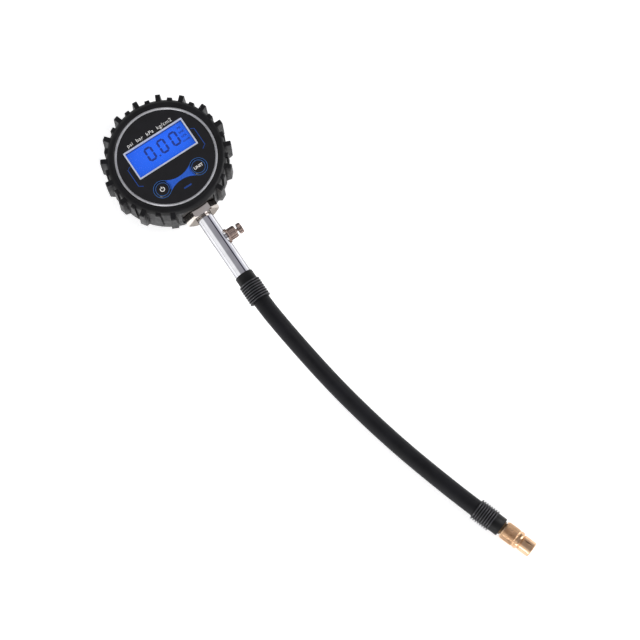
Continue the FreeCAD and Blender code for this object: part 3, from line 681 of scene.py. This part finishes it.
def make_flange():
    """The bronze foot that the bleeder's nut stands on, where it meets the stem."""
    bm = bmesh.new()
    low, high = FLANGE_X
    foot = Matrix.Translation(Vector((0, BLEEDER_Y, STEM_Z)) * MM)
    place = foot @ Matrix.Rotation(math.radians(90), 4, "Y")
    revolve(bm, [(FLANGE_BORE_R, low), (FLANGE_R, low), (FLANGE_R, high - FLANGE_CHAMFER),
                 (FLANGE_R - FLANGE_CHAMFER, high), (FLANGE_BORE_R, high)], 64, place)
    add_piece("bleeder_flange", mesh_from("bleeder_flange", bm, 30), MATERIALS["bronze"], "gauge")


def make_bleeder_spring():
    """The coil under the bleeder's plunger, which shortens as the plunger is pressed."""
    per_turn, around = 32, 12
    bm = bmesh.new()
    rings = []
    for i in range(SPRING_TURNS * per_turn + 1):
        a = 2 * math.pi * i / per_turn
        out = Vector((0, math.cos(a), math.sin(a)))
        middle = out * SPRING_R + Vector((SPRING_X + SPRING_PITCH * i / per_turn, BLEEDER_Y, STEM_Z))
        ring = []
        for j in range(around):
            b = 2 * math.pi * j / around
            place = middle + (out * math.cos(b) + Vector((math.sin(b), 0, 0))) * SPRING_WIRE_R
            ring.append(bm.verts.new(place * MM))
        rings.append(ring)
    for near, far in zip(rings, rings[1:]):
        for j in range(around):
            k = (j + 1) % around
            bm.faces.new((near[j], near[k], far[k], far[j]))
    bm.faces.new(rings[0][::-1])
    bm.faces.new(rings[-1])
    spring = add_piece("bleeder_spring_coil", mesh_from("bleeder_spring_coil", bm, 40),
                       MATERIALS["steel"], "gauge")
    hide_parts("bleeder_spring")
    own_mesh(spring)


# ---- print on the dial --------------------------------------------------------------------
BUTTON_X, BUTTON_Y, BUTTON_TOP = 11.4, -14.1, 26.25
OVERLAY_TOP, LCD_TOP, PRINT_T, PRINT_SUNK = 26.1, 24.0, 0.03, 0.01
RING_LINE_R, RING_LINE_W = 4.78, 0.28    # the printed ring round each button's hole
CAP_LINE_R, CAP_LINE_W = 3.6, 0.26       # the ring on each button's cap
BRACKET = ((19.2, 5.9), (21.0, 4.9), (21.0, -5.6), (18.8, -7.1))
BRACKET_W = 0.45
SIGN_R, SIGN_W, SIGN_GAP = 1.15, 0.42, 70    # the power sign's gap is in degrees
SIGN_BAR = (0.3, 1.65)                       # its upright bar, above the button's middle
UNIT_WORD_SIZE, PRINT_WEIGHT = 2.3, 0.04
UNIT_LINE_SIZE, UNIT_LINE_X, UNIT_LINE_Y, UNIT_LINE_SPACING = 2.9, -0.4, 16.1, 1.12
BAR_X, BAR_Y, BAR_HALF, BAR_END = 0.8, -20.1, 2.0, 0.42
LINK_RING_R, LINK_WAIST = 4.95, 1.1      # the link's ends hug the rings; half its height between
LINK_R = (BUTTON_X ** 2 + LINK_WAIST ** 2 - LINK_RING_R ** 2) / (2 * (LINK_RING_R - LINK_WAIST))
LINK_TANGENT_X = BUTTON_X * LINK_R / (LINK_R + LINK_RING_R)
LINK_END_ANGLE = 40                      # degrees round each ring where the link stops
DIGIT_X, DIGIT_Y = (-5.9, 2.0, 9.4), 6.6
DIGIT_W, DIGIT_H, SEGMENT_W, SEGMENT_GAP = 4.8, 8.4, 1.15, 0.06
POINT_CORNER, POINT_SIZE = (-2.4, 2.4), 0.9
UNITS_X, UNITS_TOP_Y, UNITS_STEP, UNITS_WEIGHT = 14.5, 10.4, 2.6, 0.03
UNITS = (("PSI", 1.7), ("BAR", 1.7), ("KPA", 1.7), ("KG/CM2", 1.2))      # words and sizes
# The two ends of each bar of a nought: 0 or 1 across, and -1 to 1 up
DIGIT_BARS = (((0, 1), (1, 1)), ((1, 1), (1, 0)), ((1, 0), (1, -1)),
              ((0, -1), (1, -1)), ((0, 0), (0, -1)), ((0, 1), (0, 0)))


def print_piece(name, z, material, body="gauge", strips=(), slabs=(), rings=()):
    bm = bmesh.new()
    for left, right in strips:
        strip(bm, left, right, z - PRINT_SUNK, z + PRINT_T)
    for outline in slabs:
        slab(bm, outline, z - PRINT_SUNK, z + PRINT_T)
    for cx, cy, radius, width in rings:
        place = Matrix.Translation(Vector((cx, cy, 0)) * MM)
        inner, outer = radius - width / 2, radius + width / 2
        revolve(bm, [(inner, z - PRINT_SUNK), (outer, z - PRINT_SUNK), (outer, z + PRINT_T),
                     (inner, z + PRINT_T)], 96, place)
    return add_piece(name, mesh_from(name, bm), material, body)


def text_piece(name, words, size, x, y, z, material, body="gauge", weight=0.0, spacing=1.0):
    data = bpy.data.curves.new(name, "FONT")
    data.body = words
    data.size = size * MM
    data.align_x = "CENTER"
    data.align_y = "CENTER"
    data.extrude = PRINT_T / 2 * MM
    data.offset = weight * MM
    data.space_character = spacing
    piece = bpy.data.objects.new(name, data)
    bpy.context.scene.collection.objects.link(piece)
    piece.location = Vector((x, y, z + PRINT_T / 2)) * MM
    coat(piece, material)
    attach(piece, body)
    return piece


def link_edge(x):
    """Half height of the blue link between the buttons, x mm from its middle."""
    if abs(x) < LINK_TANGENT_X:
        return LINK_WAIST + LINK_R - math.sqrt(LINK_R ** 2 - x ** 2)
    return math.sqrt(LINK_RING_R ** 2 - (BUTTON_X - abs(x)) ** 2)


def bar_edge(x):
    """Half height of the round-ended indicator bar, x mm from its middle."""
    past = max(0.0, abs(x) - BAR_HALF)
    return BAR_END * math.sqrt(max(0.0, 1 - (past / BAR_END) ** 2))


def print_dial():
    last = BUTTON_X - LINK_RING_R * math.cos(math.radians(LINK_END_ANGLE))
    xs = [last * math.sin(math.radians(a)) for a in range(-90, 91, 5)]
    tops = [(x, BUTTON_Y + link_edge(x)) for x in xs]
    bottoms = [(x, BUTTON_Y - link_edge(x)) for x in xs]
    print_piece("button_link", OVERLAY_TOP, INK_BLUE, strips=[(tops, bottoms)])
    print_piece("button_rings", OVERLAY_TOP, INK_LINE,
                rings=[(side * BUTTON_X, BUTTON_Y, RING_LINE_R, RING_LINE_W) for side in (-1, 1)])
    brackets = [stroke([(side * x, y) for x, y in BRACKET], BRACKET_W) for side in (-1, 1)]
    print_piece("side_brackets", OVERLAY_TOP, INK_DIM, strips=brackets)
    offsets = [x / 10 for x in range(-24, 25)]
    upper = [(BAR_X + x, BAR_Y + bar_edge(x)) for x in offsets]
    lower = [(BAR_X + x, BAR_Y - bar_edge(x)) for x in offsets]
    print_piece("indicator_bar", OVERLAY_TOP, INK_DIM, strips=[(upper, lower)])
    text_piece("unit_line", "psi  bar  kPa  kg/cm2", UNIT_LINE_SIZE, UNIT_LINE_X, UNIT_LINE_Y,
               OVERLAY_TOP, INK_WHITE, spacing=UNIT_LINE_SPACING)


def print_buttons():
    """A power sign on the left button and a plain word on the right one."""
    for side, body in ((-1, "on_button"), (1, "func_button")):
        print_piece(body + "_ring", BUTTON_TOP, INK_LINE, body,
                    rings=[(side * BUTTON_X, BUTTON_Y, CAP_LINE_R, CAP_LINE_W)])
    gap = SIGN_GAP / 2
    sweep = stroke(list(arc(-BUTTON_X, BUTTON_Y, SIGN_R, 90 + gap, 450 - gap, 32)), SIGN_W)
    bar = stroke([(-BUTTON_X, BUTTON_Y + h) for h in SIGN_BAR], SIGN_W)
    print_piece("power_sign", BUTTON_TOP, INK_WHITE, "on_button", strips=[sweep, bar])
    text_piece("unit_word", "UNIT", UNIT_WORD_SIZE, BUTTON_X, BUTTON_Y, BUTTON_TOP, INK_WHITE,
               "func_button", weight=PRINT_WEIGHT)


def digit_zero(cx, cy):
    """Outlines of the six bars that make a nought, centred on cx, cy."""
    w, h, t, gap = DIGIT_W, DIGIT_H, SEGMENT_W, SEGMENT_GAP
    for (ax, ay), (bx, by) in DIGIT_BARS:
        ax, bx = (cx + (k - 0.5) * (w - t) for k in (ax, bx))
        ay, by = (cy + k * (h - t) / 2 for k in (ay, by))
        length = math.hypot(bx - ax, by - ay)
        ux, uy = (bx - ax) / length, (by - ay) / length
        half = length / 2 - gap
        mx, my = (ax + bx) / 2, (ay + by) / 2
        corners = [(-half, 0), (-half + t / 2, -t / 2), (half - t / 2, -t / 2), (half, 0),
                   (half - t / 2, t / 2), (-half + t / 2, t / 2)]
        yield [(mx + ux * p - uy * q, my + uy * p + ux * q) for p, q in corners]


def print_display():
    segments = []
    for cx in DIGIT_X:
        segments += list(digit_zero(cx, DIGIT_Y))
    x0, y0 = POINT_CORNER
    x1, y1 = x0 + POINT_SIZE, y0 + POINT_SIZE
    segments.append([(x0, y0), (x1, y0), (x1, y1), (x0, y1)])
    print_piece("lcd_digits", LCD_TOP, SEGMENT, slabs=segments)
    for i, (word, size) in enumerate(UNITS):
        text_piece("lcd_unit_%d" % i, word, size, UNITS_X, UNITS_TOP_Y - UNITS_STEP * i, LCD_TOP,
                   SEGMENT, weight=UNITS_WEIGHT)


# ---- floor and light ----------------------------------------------------------------------
def make_floor():
    bm = bmesh.new()
    bmesh.ops.create_grid(bm, x_segments=1, y_segments=1, size=3.0)
    data = mesh_from("floor", bm)
    floor = bpy.data.objects.new("floor", data)
    bpy.context.scene.collection.objects.link(floor)
    floor.location.z = -0.0001
    made = Paint("floor_white", emission_color=(1, 1, 1, 1), emission_strength=0.55, roughness=0.9)
    made.colour(made.ramp(made.noise(3, 2.0), [(0.3, linear("f4f4f4")), (0.7, linear("ffffff"))]))
    coat(floor, made.material)


def make_world():
    """A light tent: the tone turns with the angle about the stem's axis, from the white left
    side over a grey top with a dark seam to the pale right side, and both ends are white."""
    world = bpy.data.worlds.new("tent")
    bpy.context.scene.world = world
    world.use_nodes = True
    tree = world.node_tree

    def node(kind, operation=None, *sources):
        made = tree.nodes.new("ShaderNode" + kind)
        if operation:
            made.operation = operation
        for socket, source in zip(made.inputs, sources):
            if isinstance(source, bpy.types.NodeSocket):
                tree.links.new(source, socket)
            else:
                socket.default_value = source
        return made

    coords = node("TexCoord")
    split = node("SeparateXYZ", None, coords.outputs["Generated"])
    angle = node("Math", "ARCTAN2", split.outputs["X"], split.outputs["Z"])
    turn = node("Math", "MULTIPLY_ADD", angle.outputs["Value"], 1 / math.pi, 0.5)
    ramp = node("ValToRGB", None, turn.outputs["Value"])
    stops = [(-90, (0.02, 0.02, 0.02)), (-86, (1.05, 1.05, 1.05)), (-42, (1.1, 1.1, 1.1)),
             (-28, (0.38, 0.38, 0.40)), (33, (0.34, 0.33, 0.36)), (37, (0.03, 0.03, 0.04)),
             (50, (0.04, 0.04, 0.06)), (58, (0.60, 0.60, 0.66)), (90, (0.92, 0.92, 0.96))]
    elements = ramp.color_ramp.elements
    while len(elements) < len(stops):
        elements.new(0.5)
    for element, (degrees, tone) in zip(elements, stops):
        element.position = 0.5 + degrees / 180
        element.color = (*tone, 1.0)
    end = node("Math", "ABSOLUTE", split.outputs["Y"])
    share = node("MapRange", None, end.outputs["Value"], 0.52, 0.62)
    edge = node("ValToRGB", None, end.outputs["Value"])
    for element, (place, tone) in zip(edge.color_ramp.elements, ((0.36, 1.0), (0.42, 0.06))):
        element.position = place
        element.color = (tone, tone, tone, 1.0)
    seam = node("VectorMath", "MULTIPLY", ramp.outputs["Color"], edge.outputs["Color"])
    mix = tree.nodes.new("ShaderNodeMix")
    mix.data_type = "RGBA"
    tree.links.new(share.outputs["Result"], mix.inputs["Factor"])
    tree.links.new(seam.outputs["Vector"], mix.inputs["A"])
    mix.inputs["B"].default_value = (1.0, 1.0, 1.0, 1.0)
    tree.links.new(mix.outputs["Result"], tree.nodes["Background"].inputs["Color"])


def add_softbox(name, place, size, power, target=(0.0, -0.1, 0.01)):
    data = bpy.data.lights.new(name, "AREA")
    data.shape = "RECTANGLE"
    data.size, data.size_y = size
    data.energy = power
    light = bpy.data.objects.new(name, data)
    bpy.context.scene.collection.objects.link(light)
    light.location = place
    light.rotation_mode = "QUATERNION"
    light.rotation_quaternion = (Vector(target) - Vector(place)).to_track_quat("-Z", "Y")


def make_lights():
    add_softbox("softbox_right", (0.9, -0.5, 0.7), (0.5, 0.9), 6.5)
    add_softbox("strip_left", (-1.05, -1.1, 0.36), (0.9, 0.16), 6.0)


hose_tube = make_hose()
make_boot()
chuck_nut = make_chuck_nut()
relief_far = make_reliefs()
make_flange()
make_bleeder_spring()
print_dial()
print_buttons()
print_display()
make_floor()
make_world()
make_lights()
bpy.context.scene.view_settings.view_transform = "Standard"
